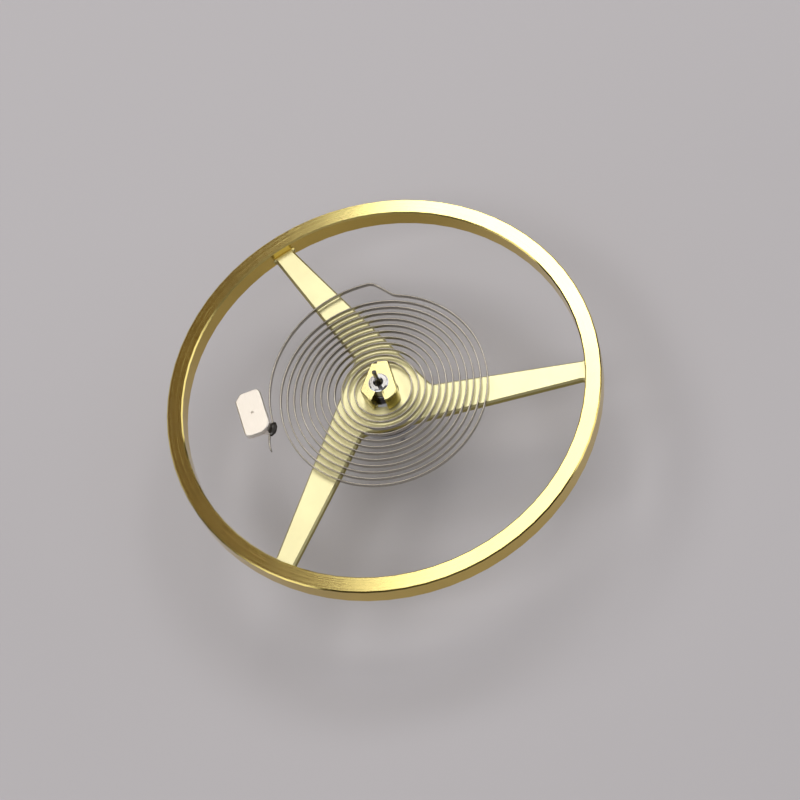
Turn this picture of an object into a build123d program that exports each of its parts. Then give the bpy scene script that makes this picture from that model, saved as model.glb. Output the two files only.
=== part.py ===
"""Balance wheel of a mechanical watch, with its staff, roller, collet, hairspring and stud.

Millimetres, +Z up along the staff. The origin is the tip of the lower pivot, and the
hairspring lies above the arms. Angles are degrees from +X, counter-clockwise from above.
"""

from build123d import *
from math import asin, atan2, cos, degrees, dist, radians, sin
import os

os.makedirs("parts", exist_ok=True)

# Balance wheel
wheel_diameter = 9.6
rim_width = 0.36
rim_height = 0.48
rim_chamfer = 0.03
arm_count = 3
arm_rise = 0.11
arm_thickness = 0.15
arm_lead_at_hub = 0.02
arm_lead_at_rim = 0.34
arm_trail_at_hub = 0.90
arm_trail_at_rim = 0.11
arm_corner_radius = 0.09
hub_corner_radius = 0.16
hub_wall = 0.48
arm_chamfer = 0.04

# Balance staff, from the lower pivot upwards
lower_pivot_radius = 0.055
lower_pivot_length = 0.25
pivot_tip_chamfer = 0.012
lower_cone_radius = 0.14
lower_cone_length = 0.16
lower_taper_length = 0.54
roller_seat_radius = 0.235
flange_radius = 0.47
flange_height = 0.24
wheel_seat_radius = 0.32
rivet_width = 0.04
rivet_height = 0.03
collet_seat_radius = 0.225
staff_head_radius = 0.205
staff_head_length = 0.04
staff_head_chamfer = 0.015
upper_cone_radius = 0.11
upper_cone_length = 0.20
upper_pivot_radius = 0.05
upper_pivot_length = 0.25

# Double roller, impulse jewel and its shellac
safety_roller_radius = 0.50
safety_roller_height = 0.24
roller_neck_radius = 0.36
roller_neck_height = 0.50
roller_table_radius = 0.85
roller_table_height = 0.18
roller_chamfer = 0.03
roller_gap_below = 0.05
roller_gap_above = 0.04
passing_hollow_radius = 0.19
passing_hollow_rise = 0.07
jewel_angle = 90.0
jewel_radius = 0.13
jewel_wall = 0.07
jewel_flat_offset = 0.055
jewel_length = 0.62
jewel_edge_radius = 0.03
jewel_fit = 0.01
shellac_margin = 0.04
shellac_height = 0.03

# Collet
collet_angle = 88.0
collet_reach = 0.54
collet_tip_width = 0.37
collet_tip_step = 0.05
collet_width = 0.81
collet_shoulder_drop = 0.17
collet_round_drop = 0.24
collet_round_side = 0.035
collet_heel = 0.44
collet_heel_width = 0.35
collet_height = 0.42
collet_gap = 0.04
collet_corner_radius = 0.22
collet_corner_chamfer = 0.03
collet_chamfer = 0.02
collet_slot_width = 0.13
collet_slot_mouth = 0.32
collet_notch_width = 0.07
collet_notch_depth = 0.09
collet_notch_offset = 0.07

# Hairspring
strip_thickness = 0.03
strip_height = 0.11
spring_gap = 0.04
coil_pitch = 0.1507
coil_turns = 11.98
inner_flat_length = 0.12
knee_inner_radius = 0.38
knee_outer_radius = 0.30
outer_curve_gap = 0.077
outer_curve_offset_x = 0.098
outer_curve_offset_y = 0.13
knee_span = 19.2
outer_curve_span = 93.9
stud_bend_radius = 0.20
stud_bend_angle = 24.0
stud_run_length = 0.25
spring_tail_radius = 0.80
spring_tail_length = 0.42

# Stud and its cement
stud_head_angle = 27.0
stud_head_width = 0.59
stud_head_length = 1.09
stud_head_thickness = 0.12
stud_head_inset = 0.04
stud_head_lead = 0.18
stud_clip = 0.15
stud_corner_radius = 0.13
stud_front_radius = 0.28
stud_chamfer = 0.02
stud_mark_radius = 0.03
stud_mark_depth = 0.05
foot_width = 0.18
foot_length = 0.22
foot_lead = 0.12
foot_height = 0.27
foot_drop = 0.01
foot_clearance = 0.005
cement_width = 0.14
cement_length = 0.34
cement_height = 0.15
cement_corner_radius = 0.05

overrun = 0.5

# Heights of the stack along the staff
roller_seat_z = lower_pivot_length + lower_cone_length + lower_taper_length
roller_z = roller_seat_z + roller_gap_below
neck_z = roller_z + safety_roller_height
table_z = neck_z + roller_neck_height
table_top_z = table_z + roller_table_height
flange_z = table_top_z + roller_gap_above
arm_z = flange_z + flange_height
arm_top_z = arm_z + arm_thickness
rim_z = arm_z - arm_rise
rim_top_z = rim_z + rim_height
rivet_top_z = arm_top_z + rivet_height
collet_z = arm_top_z + collet_gap
collet_top_z = collet_z + collet_height
staff_head_z = collet_top_z + staff_head_length
upper_pivot_z = staff_head_z + upper_cone_length
staff_top_z = upper_pivot_z + upper_pivot_length
spring_z = arm_top_z + spring_gap
strip_middle_z = spring_z + strip_height / 2
foot_z = spring_z - foot_drop
stud_head_z = foot_z + foot_height
stud_top_z = stud_head_z + stud_head_thickness

# Radii that follow from the sizes above
wheel_radius = wheel_diameter / 2
rim_inner_radius = wheel_radius - rim_width
hub_radius = wheel_seat_radius + hub_wall
jewel_circle_radius = roller_table_radius - jewel_wall - jewel_radius
passing_hollow_offset = safety_roller_radius + passing_hollow_rise
shellac_radius = jewel_radius + shellac_margin


def toward(angle, distance):
    """Point at a distance from the axis in a direction."""
    return Vector(distance * cos(radians(angle)), distance * sin(radians(angle)))


def level_edges(part, height):
    """Edges of a part that lie in the level plane at a height."""
    return part.edges().filter_by_position(Axis.Z, height, height)


# Balance wheel: a rim, and three arms that swirl off the hub, in one piece
rim_middle_radius = rim_inner_radius + rim_width / 2
arm_step = radians(360 / arm_count)
lead_slope = (arm_lead_at_rim - arm_lead_at_hub) / rim_inner_radius
trail_slope = (arm_trail_at_hub - arm_trail_at_rim) / rim_inner_radius
lead_end = arm_lead_at_hub + lead_slope * rim_middle_radius
trail_end = trail_slope * rim_middle_radius - arm_trail_at_hub

# The trailing edge of one arm runs on until it meets the leading edge of the arm before it
corner_run = (
    arm_lead_at_hub
    + arm_trail_at_hub * cos(arm_step)
    + arm_trail_at_hub * lead_slope * sin(arm_step)
) / (
    sin(arm_step)
    + trail_slope * cos(arm_step)
    - lead_slope * (cos(arm_step) - trail_slope * sin(arm_step))
)
trail_corner = Vector(corner_run, trail_slope * corner_run - arm_trail_at_hub)
lead_corner = trail_corner.rotate(Axis.Z, degrees(arm_step))

with BuildPart() as balance_wheel:
    with BuildSketch(Plane.XY.offset(arm_z)) as arms:
        with PolarLocations(0, arm_count):
            Polygon(
                (0, 0),
                trail_corner,
                (rim_middle_radius, trail_end),
                (rim_middle_radius, lead_end),
                lead_corner,
                align=None,
            )
        Circle(hub_radius)
        hub_corners = arms.vertices().filter_by(lambda v: Vector(v).length < rim_inner_radius / 2)
        fillet(hub_corners, hub_corner_radius)
        with BuildSketch(mode=Mode.PRIVATE) as seat_ring:
            Circle(rim_middle_radius)
            Circle(rim_inner_radius, mode=Mode.SUBTRACT)
        add(seat_ring.sketch)
        Circle(rim_middle_radius, mode=Mode.INTERSECT)
        rim_corners = arms.vertices().filter_by(
            lambda v: abs(Vector(v).length - rim_inner_radius) < rim_width / 4
        )
        fillet(rim_corners, arm_corner_radius)
    extrude(amount=arm_thickness)
    chamfer(level_edges(balance_wheel, arm_top_z), arm_chamfer)
    with BuildSketch(Plane.XY.offset(rim_z)):
        Circle(wheel_radius)
        Circle(rim_inner_radius, mode=Mode.SUBTRACT)
    extrude(amount=rim_height)
    chamfer(level_edges(balance_wheel, rim_top_z), rim_chamfer)
    chamfer(level_edges(balance_wheel, rim_z), rim_chamfer)
    with BuildSketch(Plane.XY.offset(arm_z)):
        Circle(wheel_seat_radius)
    extrude(amount=arm_thickness + overrun, mode=Mode.SUBTRACT)
balance_wheel.part.label = "balance_wheel"
export_step(balance_wheel.part, "parts/balance_wheel.step")

# Balance staff: one turned axle, with a pivot and its flared root at each end
lower_root_z = lower_pivot_length
lower_cone_z = lower_root_z + lower_cone_length
with BuildPart() as balance_staff:
    with BuildSketch(Plane.XZ):
        with BuildLine():
            Polyline(
                (0, 0),
                (lower_pivot_radius - pivot_tip_chamfer, 0),
                (lower_pivot_radius, pivot_tip_chamfer),
                (lower_pivot_radius, lower_root_z),
            )
            TangentArc(
                (lower_pivot_radius, lower_root_z),
                (lower_cone_radius, lower_cone_z),
                tangent=(0, 1),
            )
            Polyline(
                (lower_cone_radius, lower_cone_z),
                (roller_seat_radius, roller_seat_z),
                (roller_seat_radius, flange_z),
                (flange_radius, flange_z),
                (flange_radius, arm_z),
                (wheel_seat_radius, arm_z),
                (wheel_seat_radius, arm_top_z),
                (wheel_seat_radius + rivet_width, arm_top_z),
                (wheel_seat_radius, rivet_top_z),
                (collet_seat_radius, rivet_top_z),
                (collet_seat_radius, collet_top_z),
                (staff_head_radius, collet_top_z),
                (staff_head_radius, staff_head_z - staff_head_chamfer),
                (staff_head_radius - staff_head_chamfer, staff_head_z),
                (upper_cone_radius, staff_head_z),
            )
            TangentArc(
                (upper_pivot_radius, upper_pivot_z),
                (upper_cone_radius, staff_head_z),
                tangent=(0, -1),
            )
            Polyline(
                (upper_pivot_radius, upper_pivot_z),
                (upper_pivot_radius, staff_top_z - pivot_tip_chamfer),
                (upper_pivot_radius - pivot_tip_chamfer, staff_top_z),
                (0, staff_top_z),
                (0, 0),
            )
        make_face()
    revolve(axis=Axis.Z)
balance_staff.part.label = "balance_staff"
export_step(balance_staff.part, "parts/balance_staff.step")

# Double roller: the table carries the impulse jewel, and the safety roller has a passing hollow
jewel_centre = toward(jewel_angle, jewel_circle_radius)
jewel_z = table_top_z - jewel_length
with BuildSketch(mode=Mode.PRIVATE) as jewel_profile:
    Circle(jewel_radius)
    with Locations((jewel_flat_offset, 0)):
        Rectangle(
            jewel_radius, 2 * jewel_radius, align=(Align.MIN, Align.CENTER), mode=Mode.SUBTRACT
        )

with BuildPart() as double_roller:
    with BuildSketch(Plane.XY.offset(roller_z)):
        Circle(safety_roller_radius)
        with Locations(toward(jewel_angle, passing_hollow_offset)):
            Circle(passing_hollow_radius, mode=Mode.SUBTRACT)
    extrude(amount=safety_roller_height)
    with BuildSketch(Plane.XY.offset(neck_z)):
        Circle(roller_neck_radius)
    extrude(amount=roller_neck_height)
    with BuildSketch(Plane.XY.offset(table_z)):
        Circle(roller_table_radius)
    extrude(amount=roller_table_height)
    table_edges = level_edges(double_roller, table_top_z) + level_edges(double_roller, table_z)
    chamfer(table_edges.filter_by(lambda e: e.radius > roller_neck_radius), roller_chamfer)
    with BuildSketch(Plane.XY.offset(table_z)):
        with Locations(Location(jewel_centre, (0, 0, jewel_angle))):
            add(offset(jewel_profile.sketch, jewel_fit, mode=Mode.PRIVATE))
    extrude(amount=roller_table_height + overrun, mode=Mode.SUBTRACT)
    with BuildSketch(Plane.XY.offset(roller_z)):
        Circle(roller_seat_radius)
    extrude(amount=table_top_z - roller_z + overrun, mode=Mode.SUBTRACT)
double_roller.part.label = "double_roller"
export_step(double_roller.part, "parts/double_roller.step")

# Impulse jewel: a ruby pin with its flat turned outwards
with BuildPart() as impulse_jewel:
    with BuildSketch(Plane.XY.offset(jewel_z)):
        with Locations(Location(jewel_centre, (0, 0, jewel_angle))):
            add(jewel_profile.sketch)
    extrude(amount=jewel_length)
    chamfer(level_edges(impulse_jewel, jewel_z), jewel_edge_radius)
impulse_jewel.part.label = "impulse_jewel"
export_step(impulse_jewel.part, "parts/impulse_jewel.step")

# Shellac film over the jewel's top end
with BuildPart() as jewel_shellac:
    with BuildSketch(Plane.XY.offset(table_top_z)):
        with Locations(jewel_centre):
            Circle(shellac_radius)
    extrude(amount=shellac_height)
    chamfer(level_edges(jewel_shellac, table_top_z + shellac_height), shellac_height / 2)
jewel_shellac.part.label = "jewel_shellac"
export_step(jewel_shellac.part, "parts/jewel_shellac.step")

# Collet: a split ring, blunt where the hairspring starts, and slotted on the far side. Beside
# the spring's start the tip has a notch and stands back a little.
collet_plane = Plane.XY.offset(collet_z).rotated((0, 0, collet_angle))
notch_left = collet_notch_offset + collet_notch_width / 2
notch_right = collet_notch_offset - collet_notch_width / 2
with BuildPart() as collet:
    with BuildSketch(collet_plane) as collet_outline:
        Polygon(
            (collet_reach - collet_tip_step, collet_tip_width / 2),
            (-collet_shoulder_drop, collet_width / 2),
            (-collet_heel, collet_heel_width / 2),
            (-collet_heel, -collet_heel_width / 2 - collet_round_side),
            (-collet_round_drop, -collet_width / 2 - collet_round_side),
            (collet_reach, -collet_tip_width / 2),
            (collet_reach, collet_notch_offset),
            (collet_reach - collet_tip_step, collet_notch_offset),
            align=None,
        )
        sharp_shoulder = collet_outline.vertices().sort_by(Axis.Y)[-1]
        rounded = collet_outline.vertices().filter_by(lambda v: v.X < collet_reach / 2)
        rounded = rounded - [sharp_shoulder]
        chamfer(sharp_shoulder, collet_corner_chamfer)
        fillet(rounded, collet_corner_radius)
    extrude(amount=collet_height)
    chamfer(level_edges(collet, collet_top_z), collet_chamfer)
    with BuildSketch(collet_plane):
        Circle(collet_seat_radius)
        Polygon(
            (0, collet_slot_width / 2),
            (-collet_seat_radius, collet_slot_width / 2),
            (-collet_heel, collet_slot_mouth / 2),
            (-collet_heel - overrun, collet_slot_mouth / 2),
            (-collet_heel - overrun, -collet_slot_mouth / 2),
            (-collet_heel, -collet_slot_mouth / 2),
            (-collet_seat_radius, -collet_slot_width / 2),
            (0, -collet_slot_width / 2),
            align=None,
        )
        Polygon(
            (collet_reach + overrun, notch_right),
            (collet_reach, notch_right),
            (collet_reach - collet_notch_depth, collet_notch_offset),
            (collet_reach - collet_tip_step, notch_left),
            (collet_reach + overrun, notch_left),
            align=None,
        )
    extrude(amount=collet_height, mode=Mode.SUBTRACT)
collet.part.label = "collet"
export_step(collet.part, "parts/collet.step")

# Hairspring: a strip whose middle line is a spiral of quarter turns, a knee, an outer curve,
# a straight run through the cement and a tail
quarter = 90.0
full_turn = 360.0
pitch_step = coil_pitch / 4
coil_radius = collet_reach + strip_thickness / 2
outer_centre = Vector(outer_curve_offset_x, outer_curve_offset_y)
last_turn_radius = coil_radius + coil_pitch * coil_turns
outer_curve_radius = last_turn_radius + outer_centre.length + outer_curve_gap
knee_bearing = (collet_angle + coil_turns * full_turn) % full_turn + knee_span
curve_end_bearing = knee_bearing + outer_curve_span
run_bearing = curve_end_bearing - stud_bend_angle

with BuildLine() as spring_line:
    # The centres of the quarter turns go round a small square about the axis
    angle = collet_angle
    centre = (toward(angle + quarter, 1) - toward(angle, 1)) * (pitch_step / 2)
    radius = coil_radius - centre.dot(toward(angle, 1))
    coil_start = centre + toward(angle, radius)
    Line(coil_start + toward(angle - quarter, inner_flat_length), coil_start)
    turn_left = coil_turns * full_turn
    while turn_left > 0:
        turn = min(quarter, turn_left)
        CenterArc(centre, radius, angle, turn)
        angle += turn
        turn_left -= turn
        coil_end = centre + toward(angle, radius)
        centre -= toward(angle, pitch_step)
        radius += pitch_step

    # The knee leaves the coil on an outward bend, runs straight, and bends into the outer curve
    outward_centre = coil_end + toward(angle, knee_inner_radius)
    inward_centre = outer_centre + toward(knee_bearing, outer_curve_radius - knee_outer_radius)
    span = inward_centre - outward_centre
    span_angle = degrees(atan2(span.Y, span.X)) % full_turn
    run_angle = span_angle - degrees(asin((knee_inner_radius + knee_outer_radius) / span.length))
    outward_turn = run_angle - (angle + quarter) % full_turn
    inward_turn = knee_bearing + quarter - run_angle
    CenterArc(outward_centre, knee_inner_radius, angle - 2 * quarter, outward_turn)
    Line(
        outward_centre + toward(run_angle + quarter, knee_inner_radius),
        inward_centre + toward(run_angle - quarter, knee_outer_radius),
    )
    CenterArc(inward_centre, knee_outer_radius, run_angle - quarter, inward_turn)
    CenterArc(outer_centre, outer_curve_radius, knee_bearing, outer_curve_span)

    # Near the stud the strip bends outwards, runs straight through the cement and ends in a tail
    bend_centre = outer_centre + toward(curve_end_bearing, outer_curve_radius + stud_bend_radius)
    run_start = bend_centre - toward(run_bearing, stud_bend_radius)
    run_end = run_start + toward(run_bearing + quarter, stud_run_length)
    tail_centre = run_end - toward(run_bearing, spring_tail_radius)
    tail_turn = degrees(spring_tail_length / spring_tail_radius)
    CenterArc(bend_centre, stud_bend_radius, curve_end_bearing - 2 * quarter, -stud_bend_angle)
    Line(run_start, run_end)
    CenterArc(tail_centre, spring_tail_radius, run_bearing, tail_turn)

spring_path = spring_line.wire().moved(Location((0, 0, strip_middle_z)))
with BuildPart() as hairspring:
    with BuildSketch(Plane(origin=spring_path @ 0, z_dir=spring_path % 0)):
        Rectangle(strip_thickness, strip_height)
    sweep(path=spring_path)
hairspring.part.label = "hairspring"
export_step(hairspring.part, "parts/hairspring.step")

# Least gap between neighbouring turns, on points along the middle line
points_per_turn = 60
spring_points = [
    tuple(spring_path @ (i / (coil_turns * points_per_turn)))
    for i in range(int(coil_turns * points_per_turn) + 1)
]
least_gap = min(
    dist(a, b)
    for i, a in enumerate(spring_points)
    for b in spring_points[i + points_per_turn // 3 :]
)
print(f"hairspring length {spring_path.length:.1f} mm, volume {hairspring.part.volume:.4f} mm3")
print(f"section times length {strip_thickness * strip_height * spring_path.length:.4f} mm3")
print(f"least gap between turns {least_gap - strip_thickness:.3f} mm")

# Stud: a flat head with one clipped corner, over a foot that the spring's straight run lies
# against. The run's own frame stands at its middle, x away from the axis and y to the tail.
stud_point = (run_start + run_end) / 2
run_frame = Plane(origin=stud_point, x_dir=toward(run_bearing, 1), z_dir=(0, 0, 1))
head_frame = run_frame.rotated((0, 0, stud_head_angle))
head_middle_x = stud_head_width / 2 - stud_head_inset
head_middle_y = stud_head_lead - stud_head_length / 2
foot_face_x = strip_thickness / 2 + foot_clearance


def from_front(corner):
    """Rank of a corner of the head, from the one over the foot to the clipped one."""
    return corner.X - corner.Y


with BuildPart() as stud:
    with BuildSketch(head_frame.offset(stud_head_z)) as head_outline:
        with Locations((head_middle_x, head_middle_y)):
            Rectangle(stud_head_width, stud_head_length)
        fillet(head_outline.vertices().sort_by(from_front)[0], stud_front_radius)
        chamfer(head_outline.vertices().sort_by(from_front)[-1], stud_clip)
        fillet(head_outline.vertices().sort_by(from_front)[2:4], stud_corner_radius)
    extrude(amount=stud_head_thickness)
    chamfer(level_edges(stud, stud_top_z), stud_chamfer)
    with BuildSketch(run_frame.offset(foot_z)):
        with Locations((foot_face_x, foot_lead)):
            Rectangle(foot_width, foot_length, align=(Align.MIN, Align.MAX))
    extrude(amount=foot_height + stud_head_thickness / 2)
    with BuildSketch(head_frame.offset(stud_top_z - stud_mark_depth)):
        with Locations((head_middle_x, head_middle_y)):
            Circle(stud_mark_radius)
    extrude(amount=stud_mark_depth + overrun, mode=Mode.SUBTRACT)
stud.part.label = "stud"
export_step(stud.part, "parts/stud.step")

# Cement: a rounded drop round the spring, on the foot's inner face
with BuildPart() as stud_cement:
    with BuildSketch(run_frame.offset(foot_z)):
        with Locations((foot_face_x, 0)):
            Rectangle(cement_width, cement_length, align=(Align.MAX, Align.CENTER))
    extrude(amount=cement_height)
    free_edges = stud_cement.edges() - stud_cement.faces().sort_by(
        lambda f: f.center().dot(run_frame.x_dir)
    )[-1].edges()
    fillet(free_edges, cement_corner_radius)
    add(hairspring.part, mode=Mode.SUBTRACT)
stud_cement.part.label = "stud_cement"
export_step(stud_cement.part, "parts/stud_cement.step")
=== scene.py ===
import math
import bmesh
import bpy
from mathutils import Matrix, Vector, noise
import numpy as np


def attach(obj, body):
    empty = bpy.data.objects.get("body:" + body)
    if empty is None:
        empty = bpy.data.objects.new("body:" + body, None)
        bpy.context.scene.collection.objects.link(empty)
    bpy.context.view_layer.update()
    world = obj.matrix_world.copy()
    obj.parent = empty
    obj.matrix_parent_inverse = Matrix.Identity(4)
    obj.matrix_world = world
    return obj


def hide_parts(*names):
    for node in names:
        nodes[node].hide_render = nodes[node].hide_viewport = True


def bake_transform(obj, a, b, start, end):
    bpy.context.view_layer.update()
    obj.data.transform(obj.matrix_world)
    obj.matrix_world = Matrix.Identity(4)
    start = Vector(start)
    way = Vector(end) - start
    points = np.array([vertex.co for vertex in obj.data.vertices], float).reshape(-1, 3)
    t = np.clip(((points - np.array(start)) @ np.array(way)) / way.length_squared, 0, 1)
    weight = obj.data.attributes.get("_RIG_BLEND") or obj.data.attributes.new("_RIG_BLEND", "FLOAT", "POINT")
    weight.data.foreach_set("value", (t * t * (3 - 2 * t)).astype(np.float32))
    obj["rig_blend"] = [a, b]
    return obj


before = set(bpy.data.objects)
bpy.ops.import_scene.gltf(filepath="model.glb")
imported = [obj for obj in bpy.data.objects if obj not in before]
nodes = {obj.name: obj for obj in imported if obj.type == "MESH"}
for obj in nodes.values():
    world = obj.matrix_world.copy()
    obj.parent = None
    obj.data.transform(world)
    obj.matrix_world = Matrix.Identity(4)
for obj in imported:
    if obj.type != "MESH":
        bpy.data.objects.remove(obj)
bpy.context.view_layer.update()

mm = 0.001
scene = bpy.context.scene
print("frame loaded, pieces:", ", ".join(sorted(nodes)))


# Small helpers

noiseLow, noiseHigh = 0.3, 0.7  # nearly all values of a noise texture lie between these

# Sockets of a Mix node go by number, because its kinds of value share their names
mixShare, numberA, numberB, colourA, colourB = 0, 2, 3, 6, 7
outNumber, outColour = 0, 2


def linearColour(hexText):  # sRGB hex, as picked on a screen, to the linear values that Blender mixes in
    channels = [int(hexText[i:i + 2], 16) / 255 for i in (1, 3, 5)]
    return [c / 12.92 if c <= 0.04045 else ((c + 0.055) / 1.055) ** 2.4 for c in channels] + [1.0]


def joinLinks(tree, node, links):  # links are socket: source
    for name, source in links.items():
        tree.links.new(source, node.inputs[name])


def addNode(tree, kind, settings=None, links=None):  # settings are values of sockets or properties
    node = tree.nodes.new(kind)
    for name, value in (settings or {}).items():
        if isinstance(name, int) or name in node.inputs:
            node.inputs[name].default_value = value
        else:
            setattr(node, name, value)
    joinLinks(tree, node, links or {})
    return node


def twoColours(first, second):  # settings that mix from one hex colour to another
    return {"data_type": "RGBA", colourA: linearColour(first), colourB: linearColour(second)}


def fromNoise(low, high):  # settings that turn the usual values of a noise texture into a range
    return {"From Min": noiseLow, "From Max": noiseHigh, "To Min": low, "To Max": high}


def newMaterial(name, constants):  # a Principled surface with the values that are the same all over it
    material = bpy.data.materials.new(name)
    material.use_nodes = True
    tree = material.node_tree
    tree.nodes.clear()
    surface = addNode(tree, "ShaderNodeBsdfPrincipled", constants)
    addNode(tree, "ShaderNodeOutputMaterial", None, {"Surface": surface.outputs["BSDF"]})
    material.diffuse_color = constants["Base Color"]
    return material, tree, surface


def placeInMm(tree):  # the piece's own coordinates in millimetres, so pattern sizes below are real ones
    place = addNode(tree, "ShaderNodeTexCoord")
    inMm = addNode(tree, "ShaderNodeVectorMath", {"operation": "SCALE", "Scale": 1 / mm},
                   {0: place.outputs["Object"]})
    return inMm.outputs["Vector"]


def turnedMarks(tree, place, spacing):  # lathe marks follow the radius on flats and the height on walls
    parts = addNode(tree, "ShaderNodeSeparateXYZ", None, {0: place})
    flat = addNode(tree, "ShaderNodeCombineXYZ", None, {"X": parts.outputs["X"], "Y": parts.outputs["Y"]})
    radius = addNode(tree, "ShaderNodeVectorMath", {"operation": "LENGTH"}, {0: flat.outputs[0]})
    along = addNode(tree, "ShaderNodeMath", {"operation": "ADD"},
                    {0: radius.outputs["Value"], 1: parts.outputs["Z"]})
    marks = addNode(tree, "ShaderNodeTexNoise",
                    {"noise_dimensions": "1D", "Scale": 1 / spacing, "Detail": 3.0},
                    {"W": along.outputs[0]})
    return marks.outputs["Fac"], radius.outputs["Value"]


def levelness(tree):  # 1 on faces that lie flat, 0 on walls, so walls can get painted shade, a darker colour than the tops
    wallEnds, flatStarts = 0.45, 0.95  # upward share of the way a face looks, 0 on a wall and 1 on a flat
    facing = addNode(tree, "ShaderNodeTexCoord")
    parts = addNode(tree, "ShaderNodeSeparateXYZ", None, {0: facing.outputs["Normal"]})
    upright = addNode(tree, "ShaderNodeMath", {"operation": "ABSOLUTE"}, {0: parts.outputs["Z"]})
    level = addNode(tree, "ShaderNodeMapRange", {
        "interpolation_type": "SMOOTHSTEP", "From Min": wallEnds, "From Max": flatStarts},
        {"Value": upright.outputs[0]})
    return level.outputs["Result"]


# Gilded brass balance wheel: bright turned rim, satin arms, and painted shade on the sides, whose walls get
# a deeper gold than the tops
wheelLook = {
    # The two side golds are painted shade: a darker gold on the walls of rim and arms
    "gold": "#F4E69A", "satinGold": "#F8F3C4", "shadedSideGold": "#DABD62", "shadedArmSideGold": "#A99C58",
    "deepening": 0.90, "tintSize": 0.9,
    "rimRoughness": (0.10, 0.17), "armRoughness": (0.38, 0.46),
    "turningSpacing": 0.022, "turningDepth": 0.0005,
    "satinGrain": 0.030, "satinDepth": 0.0012,
    "rimStart": (4.41, 4.435),  # radii between which the arms' satin turns into the rim's polish
}


def gildedBrassTurned(look):
    # Thin gilding over turned brass: pale greenish gold, near mirror on the cut rim, soft on the arms
    material, tree, surface = newMaterial("gilded_brass_turned_and_satin", {
        "Base Color": linearColour(look["gold"]), "Metallic": 1.0, "Roughness": 0.2})
    place = placeInMm(tree)
    marks, radius = turnedMarks(tree, place, look["turningSpacing"])
    tint = addNode(tree, "ShaderNodeTexNoise", {"Scale": 1 / look["tintSize"], "Detail": 4.0},
                   {"Vector": place})
    grain = addNode(tree, "ShaderNodeTexNoise", {"Scale": 1 / look["satinGrain"], "Detail": 3.0},
                    {"Vector": place})
    armsEnd, rimStarts = look["rimStart"]
    onRim = addNode(tree, "ShaderNodeMapRange", {
        "interpolation_type": "SMOOTHSTEP", "From Min": armsEnd, "From Max": rimStarts},
        {"Value": radius}).outputs["Result"]
    top = addNode(tree, "ShaderNodeMix", twoColours(look["satinGold"], look["gold"]), {mixShare: onRim})
    # Painted shade: walls of rim and arms take the darker side gold, flat tops the bright one
    side = addNode(tree, "ShaderNodeMix", twoColours(look["shadedArmSideGold"], look["shadedSideGold"]),
                   {mixShare: onRim})
    gold = addNode(tree, "ShaderNodeMix", {"data_type": "RGBA"}, {
        mixShare: levelness(tree), colourA: side.outputs[outColour], colourB: top.outputs[outColour]})
    depth = addNode(tree, "ShaderNodeMapRange", fromNoise(1.0, look["deepening"]),
                    {"Value": tint.outputs["Fac"]})
    colour = addNode(tree, "ShaderNodeVectorMath", {"operation": "SCALE"},
                     {0: gold.outputs[outColour], "Scale": depth.outputs["Result"]})
    rimRough = addNode(tree, "ShaderNodeMapRange", fromNoise(*look["rimRoughness"]), {"Value": marks})
    armRough = addNode(tree, "ShaderNodeMapRange", fromNoise(*look["armRoughness"]),
                       {"Value": grain.outputs["Fac"]})
    rough = addNode(tree, "ShaderNodeMix", {"data_type": "FLOAT"}, {
        mixShare: onRim, numberA: armRough.outputs["Result"], numberB: rimRough.outputs["Result"]})
    rimHeight = addNode(tree, "ShaderNodeMath", {"operation": "MULTIPLY", 1: look["turningDepth"] * mm},
                        {0: marks})
    armHeight = addNode(tree, "ShaderNodeMath", {"operation": "MULTIPLY", 1: look["satinDepth"] * mm},
                        {0: grain.outputs["Fac"]})
    height = addNode(tree, "ShaderNodeMix", {"data_type": "FLOAT"}, {
        mixShare: onRim, numberA: armHeight.outputs[0], numberB: rimHeight.outputs[0]})
    bump = addNode(tree, "ShaderNodeBump", {"Strength": 1.0, "Distance": 1.0},
                   {"Height": height.outputs[outNumber]})
    joinLinks(tree, surface, {
        "Base Color": colour.outputs["Vector"],
        "Roughness": rough.outputs[outNumber],
        "Normal": bump.outputs["Normal"]})
    return material


# Gilded collet, lapped flat on top, with painted shade on its walls, a darker gold than the top
colletLook = {
    # The side gold is painted shade on the collet's walls
    "gold": "#F6ECAC", "shadedSideGold": "#9C8F45", "deepening": 0.92, "tintSize": 0.3,
    "roughness": (0.16, 0.26), "lapSpacing": (0.25, 0.018, 0.03), "lapDepth": 0.0006,
}


def gildedBrassLapped(look):
    # Lapped then gilded: flat bright faces with faint straight scratches, a little softer than the rim
    material, tree, surface = newMaterial("gilded_brass_lapped", {
        "Base Color": linearColour(look["gold"]), "Metallic": 1.0, "Roughness": 0.2})
    place = placeInMm(tree)
    stretched = addNode(tree, "ShaderNodeMapping", {"Scale": [1 / s for s in look["lapSpacing"]]},
                        {"Vector": place})
    scratches = addNode(tree, "ShaderNodeTexNoise", {"Scale": 1.0, "Detail": 3.0},
                        {"Vector": stretched.outputs["Vector"]})
    tint = addNode(tree, "ShaderNodeTexNoise", {"Scale": 1 / look["tintSize"], "Detail": 3.0},
                   {"Vector": place})
    # Painted shade: walls take the darker side gold, the flat top the bright one
    gold = addNode(tree, "ShaderNodeMix", twoColours(look["shadedSideGold"], look["gold"]),
                   {mixShare: levelness(tree)})
    depth = addNode(tree, "ShaderNodeMapRange", fromNoise(1.0, look["deepening"]),
                    {"Value": tint.outputs["Fac"]})
    colour = addNode(tree, "ShaderNodeVectorMath", {"operation": "SCALE"},
                     {0: gold.outputs[outColour], "Scale": depth.outputs["Result"]})
    rough = addNode(tree, "ShaderNodeMapRange", fromNoise(*look["roughness"]),
                    {"Value": scratches.outputs["Fac"]})
    bump = addNode(tree, "ShaderNodeBump", {"Strength": 1.0, "Distance": look["lapDepth"] * mm},
                   {"Height": scratches.outputs["Fac"]})
    joinLinks(tree, surface, {
        "Base Color": colour.outputs["Vector"],
        "Roughness": rough.outputs["Result"],
        "Normal": bump.outputs["Normal"]})
    return material


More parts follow.
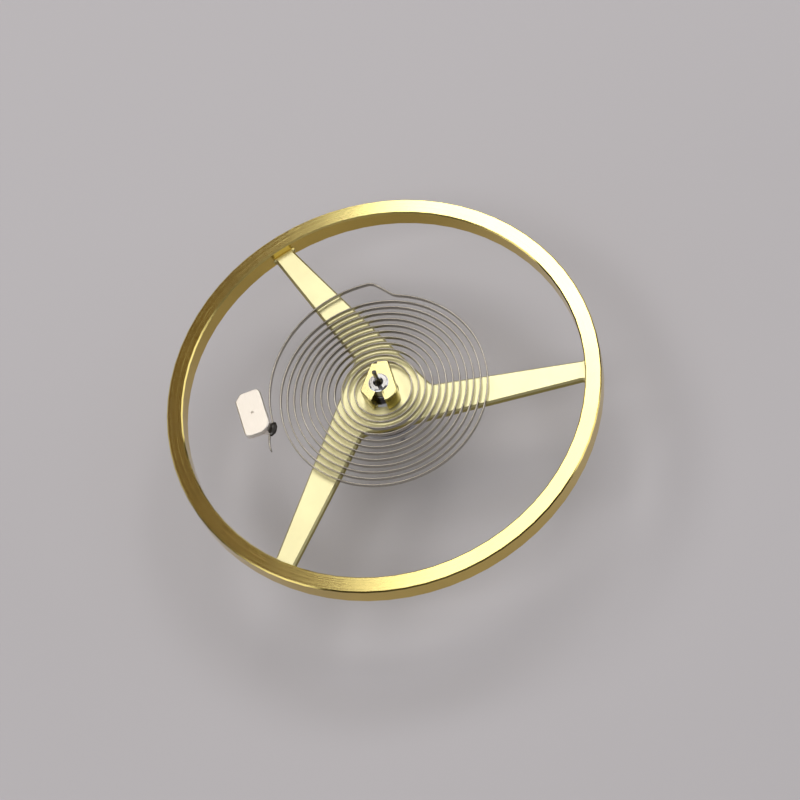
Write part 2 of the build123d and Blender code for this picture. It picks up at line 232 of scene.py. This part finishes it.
# Hardened steel staff and roller
staffLook = {
    "steel": "#C6C7CA", "deepSteel": "#B4B5BA", "roughness": (0.05, 0.11),
    "turningSpacing": 0.020, "turningDepth": 0.00025,
    # The dark colour below is painted: a dark reflection on the upper pivot and shade on the seat inside the
    # collet
    "paintedReflectionAndShade": "#4C4A4B", "pivotRadius": 0.115, "pivotBottom": 2.8,
    "seatHeights": (2.36, 2.80), "seatRadii": (0.222, 0.30),
}
rollerLook = {
    "steel": "#BFC0C3", "deepSteel": "#A9AAB0", "roughness": (0.08, 0.16),
    "turningSpacing": 0.026, "turningDepth": 0.0004,
}


def hardenedSteelTurned(name, look):
    # Hardened and polished steel: cool grey, sharp reflections with the faintest rings left by the lathe
    material, tree, surface = newMaterial(name, {
        "Base Color": linearColour(look["steel"]), "Metallic": 1.0, "Roughness": 0.08})
    place = placeInMm(tree)
    marks, radius = turnedMarks(tree, place, look["turningSpacing"])
    colour = addNode(tree, "ShaderNodeMix", twoColours(look["steel"], look["deepSteel"]), {mixShare: marks})
    if "paintedReflectionAndShade" in look:  # painted dark: a painted reflection on the slim upper pivot and painted shade on the seat inside the collet
        height = addNode(tree, "ShaderNodeSeparateXYZ", None, {0: place}).outputs["Z"]
        slim = addNode(tree, "ShaderNodeMath", {"operation": "LESS_THAN", 1: look["pivotRadius"]},
                       {0: radius})
        above = addNode(tree, "ShaderNodeMath", {"operation": "GREATER_THAN", 1: look["pivotBottom"]},
                        {0: height})
        pivot = addNode(tree, "ShaderNodeMath", {"operation": "MULTIPLY"},
                        {0: slim.outputs[0], 1: above.outputs[0]})
        within = []
        for value, (low, high) in ((height, look["seatHeights"]), (radius, look["seatRadii"])):
            within.append(addNode(tree, "ShaderNodeMath", {
                "operation": "COMPARE", 1: (low + high) / 2, 2: (high - low) / 2}, {0: value}))
        seat = addNode(tree, "ShaderNodeMath", {"operation": "MULTIPLY"},
                       {0: within[0].outputs[0], 1: within[1].outputs[0]})
        dark = addNode(tree, "ShaderNodeMath", {"operation": "MAXIMUM"},
                       {0: pivot.outputs[0], 1: seat.outputs[0]})
        colour = addNode(tree, "ShaderNodeMix", {
            "data_type": "RGBA", colourB: linearColour(look["paintedReflectionAndShade"])},
            {mixShare: dark.outputs[0], colourA: colour.outputs[outColour]})
    rough = addNode(tree, "ShaderNodeMapRange", fromNoise(*look["roughness"]), {"Value": marks})
    bump = addNode(tree, "ShaderNodeBump", {"Strength": 1.0, "Distance": look["turningDepth"] * mm},
                   {"Height": marks})
    joinLinks(tree, surface, {
        "Base Color": colour.outputs[outColour],
        "Roughness": rough.outputs["Result"],
        "Normal": bump.outputs["Normal"]})
    return material


# Ruby impulse jewel and its shellac
jewelLook = {"ruby": "#B01030", "deepRuby": "#7A0820", "cloudSize": 0.25, "roughness": (0.02, 0.07)}
shellacLook = {"amber": "#8A4A16", "darkAmber": "#5C2C0C", "rippleSize": 0.12, "rippleDepth": 0.004}


def syntheticRubyPolished(look):
    # Synthetic ruby, polished all over: deep clear red with a hard glassy highlight
    material, tree, surface = newMaterial("synthetic_ruby_polished", {
        "Base Color": linearColour(look["ruby"]), "Roughness": 0.04, "IOR": 1.76,
        "Transmission Weight": 0.55})
    place = placeInMm(tree)
    cloud = addNode(tree, "ShaderNodeTexNoise", {"Scale": 1 / look["cloudSize"], "Detail": 2.0},
                    {"Vector": place})
    colour = addNode(tree, "ShaderNodeMix", twoColours(look["ruby"], look["deepRuby"]),
                     {mixShare: cloud.outputs["Fac"]})
    smooth, dull = look["roughness"]
    rough = addNode(tree, "ShaderNodeMapRange", {"To Min": smooth, "To Max": dull},
                    {"Value": cloud.outputs["Fac"]})
    joinLinks(tree, surface, {
        "Base Color": colour.outputs[outColour],
        "Roughness": rough.outputs["Result"]})
    return material


def shellacMelted(look):
    # Shellac melted round the jewel: a brown glossy skin with soft ripples where it flowed
    material, tree, surface = newMaterial("shellac_melted", {
        "Base Color": linearColour(look["amber"]), "Roughness": 0.18, "IOR": 1.52,
        "Coat Weight": 0.5, "Coat Roughness": 0.06})
    place = placeInMm(tree)
    ripple = addNode(tree, "ShaderNodeTexNoise", {"Scale": 1 / look["rippleSize"], "Detail": 2.0},
                     {"Vector": place})
    colour = addNode(tree, "ShaderNodeMix", twoColours(look["amber"], look["darkAmber"]),
                     {mixShare: ripple.outputs["Fac"]})
    bump = addNode(tree, "ShaderNodeBump", {"Strength": 1.0, "Distance": look["rippleDepth"] * mm},
                   {"Height": ripple.outputs["Fac"]})
    joinLinks(tree, surface, {
        "Base Color": colour.outputs[outColour],
        "Normal": bump.outputs["Normal"]})
    return material


# Nickel silver stud, satin finished along its length
studLook = {
    "nickel": "#F6F1EB", "deepNickel": "#ECE6DE", "roughness": (0.34, 0.44),
    "brushSpacing": 0.014, "brushLength": 0.25, "brushDepth": 0.0007,
    "bearing": 196.9,
}


def nickelSilverBrushed(look):
    # Nickel silver brushed lengthways: warm white metal that holds the light evenly, with hair-fine lines
    material, tree, surface = newMaterial("nickel_silver_brushed", {
        "Base Color": linearColour(look["nickel"]), "Metallic": 1.0, "Roughness": 0.35})
    place = placeInMm(tree)
    turned = addNode(tree, "ShaderNodeMapping", {"Rotation": (0, 0, -math.radians(look["bearing"]))},
                     {"Vector": place})
    stretched = addNode(tree, "ShaderNodeMapping", {
        "Scale": (1 / look["brushSpacing"], 1 / look["brushLength"], 1 / look["brushSpacing"])},
        {"Vector": turned.outputs["Vector"]})
    lines = addNode(tree, "ShaderNodeTexNoise", {"Scale": 1.0, "Detail": 2.0},
                    {"Vector": stretched.outputs["Vector"]})
    colour = addNode(tree, "ShaderNodeMix", twoColours(look["nickel"], look["deepNickel"]),
                     {mixShare: lines.outputs["Fac"]})
    rough = addNode(tree, "ShaderNodeMapRange", fromNoise(*look["roughness"]),
                    {"Value": lines.outputs["Fac"]})
    bump = addNode(tree, "ShaderNodeBump", {"Strength": 1.0, "Distance": look["brushDepth"] * mm},
                   {"Height": lines.outputs["Fac"]})
    joinLinks(tree, surface, {
        "Base Color": colour.outputs[outColour],
        "Roughness": rough.outputs["Result"],
        "Normal": bump.outputs["Normal"]})
    return material


# Hairspring: the same middle line as the CAD strip, with rounded edges and many more steps
springShape = {
    "startBearing": 88.0, "colletReach": 0.54, "flatLength": 0.12,
    "thickness": 0.03, "height": 0.11, "edgeRound": 0.011,
    "pitch": 0.1507, "turns": 11.98,
    "kneeInner": 0.38, "kneeOuter": 0.30, "kneeAngle": 19.2,
    "curveGap": 0.077, "curveOffset": (0.098, 0.13), "curveAngle": 93.9,
    "bendRadius": 0.20, "bendAngle": 24.0, "runLength": 0.25, "tailRadius": 0.80, "tail": 0.42,
    "middleZ": 2.445, "stepDegrees": 4.0,
}
springLook = {
    "alloy": "#B7B2AA", "darkAlloy": "#9D988F", "roughness": (0.20, 0.32),
    "drawSpacing": 0.012, "drawDepth": 0.0003,
}


def towards(bearing, distance):  # a point at a distance from the axis in a direction, both flat
    turn = math.radians(bearing)
    return Vector((distance * math.cos(turn), distance * math.sin(turn)))


def hairspringLine(shape):  # points of the strip's middle line in millimetres, and how it heads at each
    points, headings = [], []
    samePoint, noTurn = 1e-5, 1e-9  # millimetres and degrees that are as good as nothing

    def addArc(centre, radius, start, sweep):
        steps = max(2, math.ceil(abs(sweep) / shape["stepDegrees"]))
        for i in range(steps + 1):
            bearing = start + sweep * i / steps
            point = centre + towards(bearing, radius)
            if not points or (point - points[-1]).length > samePoint:
                points.append(point)
                headings.append(bearing + math.copysign(90.0, sweep))

    # The coil is made of quarter turns, each one with a radius a quarter of the pitch larger than the last
    quarter = 90.0
    step = shape["pitch"] / 4
    bearing = shape["startBearing"]
    centre = (towards(bearing + quarter, 1) - towards(bearing, 1)) * (step / 2)
    radius = shape["colletReach"] + shape["thickness"] / 2 - centre.dot(towards(bearing, 1))
    lastTurn = shape["colletReach"] + shape["thickness"] / 2 + shape["pitch"] * shape["turns"]
    coilStart = centre + towards(bearing, radius)
    for share in (1.0, 0.75, 0.5, 0.25):
        points.append(coilStart + towards(bearing - quarter, shape["flatLength"] * share))
        headings.append(bearing + quarter)
    turnLeft = shape["turns"] * 360.0
    while turnLeft > noTurn:
        turn = min(quarter, turnLeft)
        addArc(centre, radius, bearing, turn)
        bearing += turn
        turnLeft -= turn
        coilEnd = centre + towards(bearing, radius)
        centre = centre - towards(bearing, step)
        radius += step

    # The knee bends outwards, runs straight and bends back into the outer curve
    curveCentre = Vector(shape["curveOffset"])
    curveRadius = lastTurn + curveCentre.length + shape["curveGap"]
    kneeBearing = bearing % 360.0 + shape["kneeAngle"]
    outCentre = coilEnd + towards(bearing, shape["kneeInner"])
    inCentre = curveCentre + towards(kneeBearing, curveRadius - shape["kneeOuter"])
    span = inCentre - outCentre
    runHeading = math.degrees(math.atan2(span.y, span.x)) % 360.0 - math.degrees(
        math.asin((shape["kneeInner"] + shape["kneeOuter"]) / span.length))
    addArc(outCentre, shape["kneeInner"], bearing - 180.0, runHeading - (bearing + quarter) % 360.0)
    addArc(inCentre, shape["kneeOuter"], runHeading - quarter, kneeBearing + quarter - runHeading)
    addArc(curveCentre, curveRadius, kneeBearing, shape["curveAngle"])

    # By the stud it bends outwards, runs straight through the cement and ends in a curved tail
    curveEnd = kneeBearing + shape["curveAngle"]
    runBearing = curveEnd - shape["bendAngle"]
    bendCentre = curveCentre + towards(curveEnd, curveRadius + shape["bendRadius"])
    addArc(bendCentre, shape["bendRadius"], curveEnd - 180.0, -shape["bendAngle"])
    runStart = bendCentre - towards(runBearing, shape["bendRadius"])
    runMiddle = runStart + towards(runBearing + quarter, shape["runLength"] / 2)
    runEnd = runStart + towards(runBearing + quarter, shape["runLength"])
    tailCentre = runEnd - towards(runBearing, shape["tailRadius"])
    freeSteps = len(points)
    points.append(runMiddle)
    headings.append(runBearing + quarter)
    addArc(tailCentre, shape["tailRadius"], runBearing, math.degrees(shape["tail"] / shape["tailRadius"]))
    return points, headings, freeSteps, runMiddle, runBearing


def roundedStrip(thickness, height, rounding):  # the strip's section, four points on each rounded edge
    section = []
    for cornerX, cornerZ, start in ((1, -1, -90), (1, 1, 0), (-1, 1, 90), (-1, -1, 180)):
        middle = Vector((cornerX * (thickness / 2 - rounding), cornerZ * (height / 2 - rounding)))
        for i in range(4):
            section.append(middle + towards(start + 30 * i, rounding))
    return section


def coldDrawnSpringAlloy(look):
    # Spring alloy strip, rolled and drawn: neutral grey with fine lines along it and small sharp glints
    material, tree, surface = newMaterial("spring_alloy_drawn", {
        "Base Color": linearColour(look["alloy"]), "Metallic": 1.0, "Roughness": 0.22})
    marks = turnedMarks(tree, placeInMm(tree), look["drawSpacing"])[0]
    colour = addNode(tree, "ShaderNodeMix", twoColours(look["alloy"], look["darkAlloy"]), {mixShare: marks})
    rough = addNode(tree, "ShaderNodeMapRange", fromNoise(*look["roughness"]), {"Value": marks})
    bump = addNode(tree, "ShaderNodeBump", {"Strength": 1.0, "Distance": look["drawDepth"] * mm},
                   {"Height": marks})
    joinLinks(tree, surface, {
        "Base Color": colour.outputs[outColour],
        "Roughness": rough.outputs["Result"],
        "Normal": bump.outputs["Normal"]})
    return material


def buildHairspring(shape):
    points, headings, freeSteps, runMiddle, runBearing = hairspringLine(shape)
    section = roundedStrip(shape["thickness"], shape["height"], shape["edgeRound"])
    vertices, faces, lengths, run, free = [], [], [], 0.0, 0.0
    for i, point in enumerate(points):
        run += (point - points[i - 1]).length if i else 0.0
        free = run if i < freeSteps else free
        outward = towards(headings[i] - 90.0, 1.0)
        for across, up in section:
            vertices.append(((point.x + outward.x * across) * mm,
                             (point.y + outward.y * across) * mm,
                             (shape["middleZ"] + up) * mm))
            lengths.append(run)
    count = len(section)
    for i in range(len(points) - 1):
        for j in range(count):
            k = (j + 1) % count
            faces.append((i * count + j, i * count + k, (i + 1) * count + k, (i + 1) * count + j))
    faces.append(tuple(range(count - 1, -1, -1)))
    faces.append(tuple((len(points) - 1) * count + j for j in range(count)))
    mesh = bpy.data.meshes.new("hairspring_strip")
    mesh.from_pydata(vertices, [], faces)
    mesh.validate()
    for face in mesh.polygons:
        face.use_smooth = True
    strip = bpy.data.objects.new("hairspring_strip", mesh)
    scene.collection.objects.link(strip)
    mesh.materials.append(coldDrawnSpringAlloy(springLook))
    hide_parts("hairspring")

    # The inner end turns with the collet, the outer one stays in the stud, and the length shares the turn
    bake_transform(strip, "stud_side", "balance", start=(0.0025, 0, 0.0025), end=(0, 0, 0.0025))
    flatLength = shape["flatLength"]
    for i, share in enumerate(mesh.attributes["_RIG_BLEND"].data):
        share.value = min(1.0, max(0.0, 1.0 - (lengths[i] - flatLength) / (free - flatLength)))
    print("hairspring strip:", len(points), "steps,", round(run, 1), "mm long")
    return runMiddle, runBearing


# Drop of cement on the stud's foot
cementShape = {
    "width": 0.14, "length": 0.34, "height": 0.15, "footFace": 0.02, "bottomZ": 2.38,
    "reach": 0.65, "inset": 0.38,  # shares of the width
    "flatUnder": 0.97, "lumpSize": 0.07, "lumpDepth": 0.010, "detail": 5,
}
cementLook = {
    "cement": "#2A211A", "darkCement": "#120D09", "roughness": (0.2, 0.4),
    "speckSize": 0.05, "speckDepth": 0.003,
}


def cementHardened(look):
    # Watchmaker's cement, hardened: nearly black brown, glossy on top of its lumps
    material, tree, surface = newMaterial("cement_hardened", {
        "Base Color": linearColour(look["cement"]), "Roughness": 0.28, "IOR": 1.54,
        "Coat Weight": 0.3, "Coat Roughness": 0.12})
    place = placeInMm(tree)
    specks = addNode(tree, "ShaderNodeTexNoise", {"Scale": 1 / look["speckSize"], "Detail": 3.0},
                     {"Vector": place})
    colour = addNode(tree, "ShaderNodeMix", twoColours(look["cement"], look["darkCement"]),
                     {mixShare: specks.outputs["Fac"]})
    smooth, dull = look["roughness"]
    rough = addNode(tree, "ShaderNodeMapRange", {"To Min": smooth, "To Max": dull},
                    {"Value": specks.outputs["Fac"]})
    bump = addNode(tree, "ShaderNodeBump", {"Strength": 1.0, "Distance": look["speckDepth"] * mm},
                   {"Height": specks.outputs["Fac"]})
    joinLinks(tree, surface, {
        "Base Color": colour.outputs[outColour],
        "Roughness": rough.outputs["Result"],
        "Normal": bump.outputs["Normal"]})
    return material


def buildCement(shape, studPoint, studBearing):
    away, forward = towards(studBearing, 1.0), towards(studBearing + 90.0, 1.0)
    width, lumpDepth = shape["width"], shape["lumpDepth"]
    ball = bmesh.new()
    bmesh.ops.create_icosphere(ball, subdivisions=shape["detail"], radius=1.0)
    for vertex in ball.verts:
        way = vertex.co.normalized()
        lump = noise.noise(way * (width / shape["lumpSize"])) * lumpDepth
        across = way.x * (width * shape["reach"] + lump) + shape["footFace"] - width * shape["inset"]
        across = min(across, shape["footFace"])  # flat where it sits on the foot
        along = way.y * (shape["length"] / 2 + lump)
        up = max(-shape["flatUnder"], min(1.0, way.z)) * (shape["height"] / 2 - lumpDepth / 2 + lump / 2)
        flat = studPoint + away * across + forward * along
        vertex.co = Vector((flat.x, flat.y, shape["bottomZ"] + shape["height"] / 2 + up)) * mm
    mesh = bpy.data.meshes.new("stud_cement_drop")
    ball.to_mesh(mesh)
    ball.free()
    for face in mesh.polygons:
        face.use_smooth = True
    drop = bpy.data.objects.new("stud_cement_drop", mesh)
    scene.collection.objects.link(drop)
    mesh.materials.append(cementHardened(cementLook))
    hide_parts("stud_cement")
    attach(drop, "stud_side")
    print("cement drop:", len(mesh.vertices), "points")


studPoint, studBearing = buildHairspring(springShape)
buildCement(cementShape, studPoint, studBearing)

finishes = {
    "balance_wheel": gildedBrassTurned(wheelLook),
    "collet": gildedBrassLapped(colletLook),
    "balance_staff": hardenedSteelTurned("hardened_steel_polished", staffLook),
    "double_roller": hardenedSteelTurned("hardened_steel_lapped", rollerLook),
    "impulse_jewel": syntheticRubyPolished(jewelLook),
    "jewel_shellac": shellacMelted(shellacLook),
    "stud": nickelSilverBrushed(studLook),
    "hairspring": bpy.data.objects["hairspring_strip"].data.materials[0],
    "stud_cement": bpy.data.objects["stud_cement_drop"].data.materials[0],
}
for name, material in finishes.items():
    for slot in nodes[name].material_slots:
        slot.material = material
print("finishes:", len(finishes))


# Camera at the photograph's place, with all lengths in millimetres
cameraView = {
    "place": (9.204, -24.543, 47.384), "right": (0.9814, 0.0, -0.1922),
    "up": (0.0900, 0.8836, 0.4595), "back": (0.1699, -0.4682, 0.8671),
    "lens": 108.0, "sensor": 36.0, "nearest": 1, "farthest": 10000,
}
cameraData = bpy.data.cameras.new("photo_camera")
cameraData.lens = cameraView["lens"]
cameraData.sensor_width = cameraView["sensor"]
cameraData.clip_start = cameraView["nearest"] * mm
cameraData.clip_end = cameraView["farthest"] * mm
camera = bpy.data.objects.new("photo_camera", cameraData)
axes = Matrix([cameraView["right"], cameraView["up"], cameraView["back"]]).transposed()
camera.matrix_world = Matrix.Translation(Vector(cameraView["place"]) * mm) @ axes.to_4x4()
scene.collection.objects.link(camera)
scene.camera = camera


# Pale floor under the lower pivot
floorLook = {"size": 2000, "paper": "#C5C3C9", "roughness": 0.9}
floorMesh = bpy.data.meshes.new("floor")
half = floorLook["size"] * mm / 2
floorCorners = [(-half, -half, 0), (half, -half, 0), (half, half, 0), (-half, half, 0)]
floorMesh.from_pydata(floorCorners, [], [(0, 1, 2, 3)])
floorMaterial = newMaterial("matt_paper", {
    "Base Color": linearColour(floorLook["paper"]), "Roughness": floorLook["roughness"]})[0]
floorMesh.materials.append(floorMaterial)
floor = bpy.data.objects.new("floor", floorMesh)
scene.collection.objects.link(floor)


# Soft studio light: large boxes above, weaker ones low at the left and right, and a dim room
lightBoxes = {
    "key_box": {"place": (18, 38, 100), "size": (77, 34), "brightness": 2.1, "colour": "#FFFAF0"},
    "back_box": {"place": (18, 74, 100), "size": (77, 38), "brightness": 3.2, "colour": "#FFFEFC"},
    "left_box": {"place": (-72, 30, 100), "size": (44, 100), "brightness": 2.4, "colour": "#FFFDF8"},
    "front_box": {"place": (-20, -53, 100), "size": (70, 40), "brightness": 2.6, "colour": "#FFFEFC"},
    "low_box": {"place": (-84, -52, 32), "size": (84, 20), "brightness": 1.3, "colour": "#FFFFFF",
                "aim": (0, 0, 2)},
    "right_box": {"place": (86, 25, 33), "size": (90, 34), "brightness": 1.3, "colour": "#FFFFFF",
                  "aim": (0, 0, 2)},
}
for name, box in lightBoxes.items():
    light = bpy.data.lights.new(name, "AREA")
    light.shape = "RECTANGLE"
    light.size, light.size_y = box["size"][0] * mm, box["size"][1] * mm
    light.energy = box["brightness"] * math.pi * light.size * light.size_y  # brightness as seen in a mirror
    light.color = linearColour(box["colour"])[:3]
    lamp = bpy.data.objects.new(name, light)
    lamp.location = Vector(box["place"]) * mm
    if "aim" in box:
        beam = Vector(box["aim"]) - Vector(box["place"])
        lamp.rotation_euler = beam.to_track_quat("-Z", "Y").to_euler()
    scene.collection.objects.link(lamp)

roomLook = {
    "air": "#B4B2B0", "walls": "#3A352E", "wallTop": (0.35, 0.70),
    "corner": "#5B4110", "cornerWay": (-0.50, 0.42, 0.76), "cornerSize": (0.86, 0.95),
}
room = bpy.data.worlds.new("room")
room.use_nodes = True
roomTree = room.node_tree
roomTree.nodes.clear()
way = addNode(roomTree, "ShaderNodeTexCoord").outputs["Generated"]
nearness = addNode(roomTree, "ShaderNodeVectorMath", {
    "operation": "DOT_PRODUCT", 1: Vector(roomLook["cornerWay"]).normalized()}, {0: way})
cornerEdge, cornerFull = roomLook["cornerSize"]
shade = addNode(roomTree, "ShaderNodeMapRange", {
    "interpolation_type": "SMOOTHSTEP", "From Min": cornerEdge, "From Max": cornerFull},
    {"Value": nearness.outputs["Value"]})
height = addNode(roomTree, "ShaderNodeSeparateXYZ", None, {0: way}).outputs["Z"]
wallsEnd, airStarts = roomLook["wallTop"]
rise = addNode(roomTree, "ShaderNodeMapRange", {
    "interpolation_type": "SMOOTHSTEP", "From Min": wallsEnd, "From Max": airStarts}, {"Value": height})
walls = addNode(roomTree, "ShaderNodeMix", twoColours(roomLook["walls"], roomLook["air"]),
                {mixShare: rise.outputs["Result"]})
air = addNode(roomTree, "ShaderNodeMix", {"data_type": "RGBA", colourB: linearColour(roomLook["corner"])},
              {mixShare: shade.outputs["Result"], colourA: walls.outputs[outColour]})
glow = addNode(roomTree, "ShaderNodeBackground", {"Strength": 1.0}, {"Color": air.outputs[outColour]})
addNode(roomTree, "ShaderNodeOutputWorld", None, {"Surface": glow.outputs[0]})
scene.world = room
scene.view_settings.view_transform = "Standard"
print("camera, floor and light are set")
